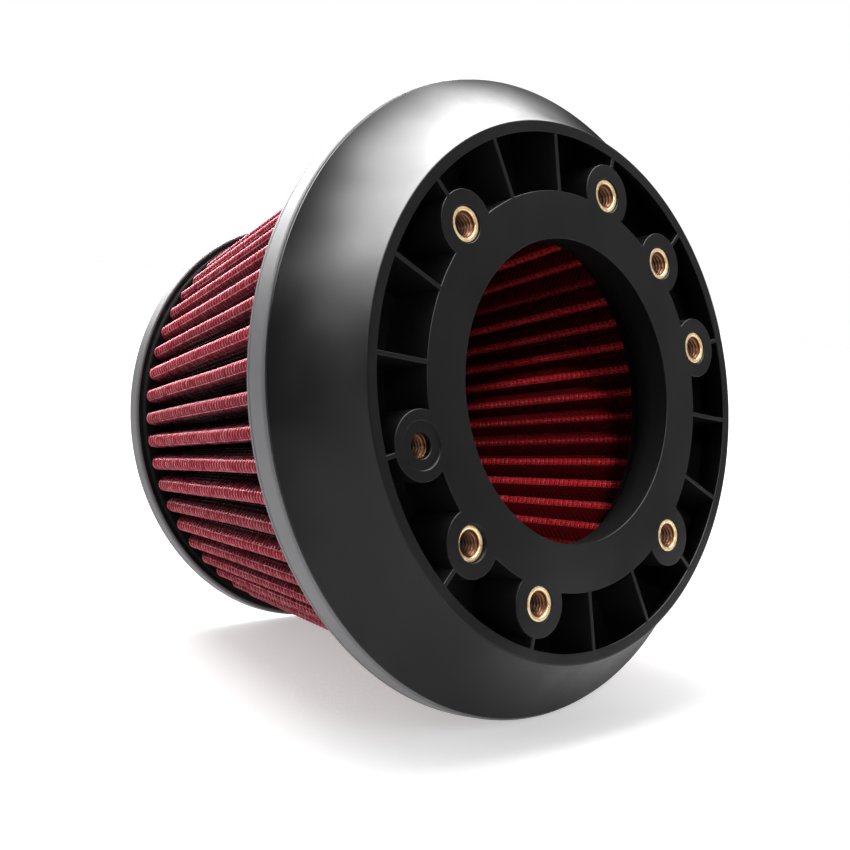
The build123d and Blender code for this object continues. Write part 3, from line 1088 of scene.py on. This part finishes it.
def spot_light(name, place, aim, watts, cone_deg):
    """Soft-edged spot aimed at a point, without a highlight of its own."""
    data = bpy.data.lights.new(name, "SPOT")
    data.energy = watts
    data.spot_size = math.radians(cone_deg)
    data.spot_blend = 0.6
    data.shadow_soft_size = 0.04
    data.specular_factor = 0.0
    aim_at(placed(name, data), place, aim)


make_floor()
area_light("top_softbox", (-0.10, 0.05, 0.80), (0.0, 0.05, 0.0), (0.6, 0.6), 5.5)
spot_light("bore_spot", (-0.30, -0.40, 0.16), (0.012, 0.0, 0.0), 10.5, 9.5)


# what reflections see: direction, degrees of full light and of its edge, level
lamps = (
    ((-0.04, 0.22, 0.97), 31.0, 50.0, 26.0),
    ((-0.45, -0.20, 0.85), 14.0, 42.0, 8.5),
    ((-0.85, -0.15, 0.50), 4.0, 26.0, 1.2),
    ((0.55, -0.60, 0.45), 5.0, 42.0, 0.95),
)
dim_room = 0.045           # and the level between the lamps
room_light = 0.58          # level of the surroundings that light the object


def studio_world():
    """Plain pale surroundings; reflections see four soft lamps in a dim room."""
    world = bpy.data.worlds.new("studio")
    bpy.context.scene.world = world
    world.use_nodes = True
    tree = world.node_tree
    tree.nodes.clear()
    coords = node(tree, "ShaderNodeTexCoord")

    def lamp(towards, inner_deg, outer_deg, level):
        facing = node(tree, "ShaderNodeVectorMath", operation="DOT_PRODUCT")
        tree.links.new(coords.outputs["Generated"], facing.inputs[0])
        facing.inputs[1].default_value = Vector(towards).normalized()
        inner, outer = (math.cos(math.radians(deg)) for deg in (inner_deg, outer_deg))
        return spread(tree, facing.outputs["Value"], 0.0, level, outer, inner)

    glow = lamp(*lamps[0])
    for settings in lamps[1:]:
        glow = math_node(tree, "ADD", glow, lamp(*settings))
    glow = math_node(tree, "ADD", glow, dim_room)
    reflected = node(tree, "ShaderNodeBackground")
    tree.links.new(glow, reflected.inputs["Strength"])
    plain = node(tree, "ShaderNodeBackground")
    plain.inputs["Color"].default_value = (1, 1, 1, 1)
    plain.inputs["Strength"].default_value = room_light
    seen = node(tree, "ShaderNodeBackground")
    seen.inputs["Color"].default_value = (1, 1, 1, 1)
    path = node(tree, "ShaderNodeLightPath")
    glossy = node(tree, "ShaderNodeMixShader")
    tree.links.new(path.outputs["Is Glossy Ray"], glossy.inputs["Fac"])
    tree.links.new(plain.outputs["Background"], glossy.inputs[1])
    tree.links.new(reflected.outputs["Background"], glossy.inputs[2])
    whole = node(tree, "ShaderNodeMixShader")
    tree.links.new(path.outputs["Is Camera Ray"], whole.inputs["Fac"])
    tree.links.new(glossy.outputs["Shader"], whole.inputs[1])
    tree.links.new(seen.outputs["Background"], whole.inputs[2])
    out = node(tree, "ShaderNodeOutputWorld")
    tree.links.new(whole.outputs["Shader"], out.inputs["Surface"])


def make_camera():
    """Camera that stands where the photograph's did."""
    data = bpy.data.cameras.new("camera")
    data.lens = 51.8
    data.sensor_width = 36.0
    data.clip_start = 0.01
    obj = placed("camera", data)
    right = Vector((0.73481, -0.67698, -0.04205)).normalized()
    up = Vector((0.0, -0.0620, 0.99809)).normalized()
    back = right.cross(up).normalized()
    turn = Matrix((right, back.cross(right), back)).transposed().to_4x4()
    obj.matrix_world = Matrix.Translation((-0.23035, -0.19442, -0.02047)) @ turn
    return obj


studio_world()
bpy.context.scene.view_settings.view_transform = "Standard"
camera = make_camera()
bpy.context.scene.camera = camera
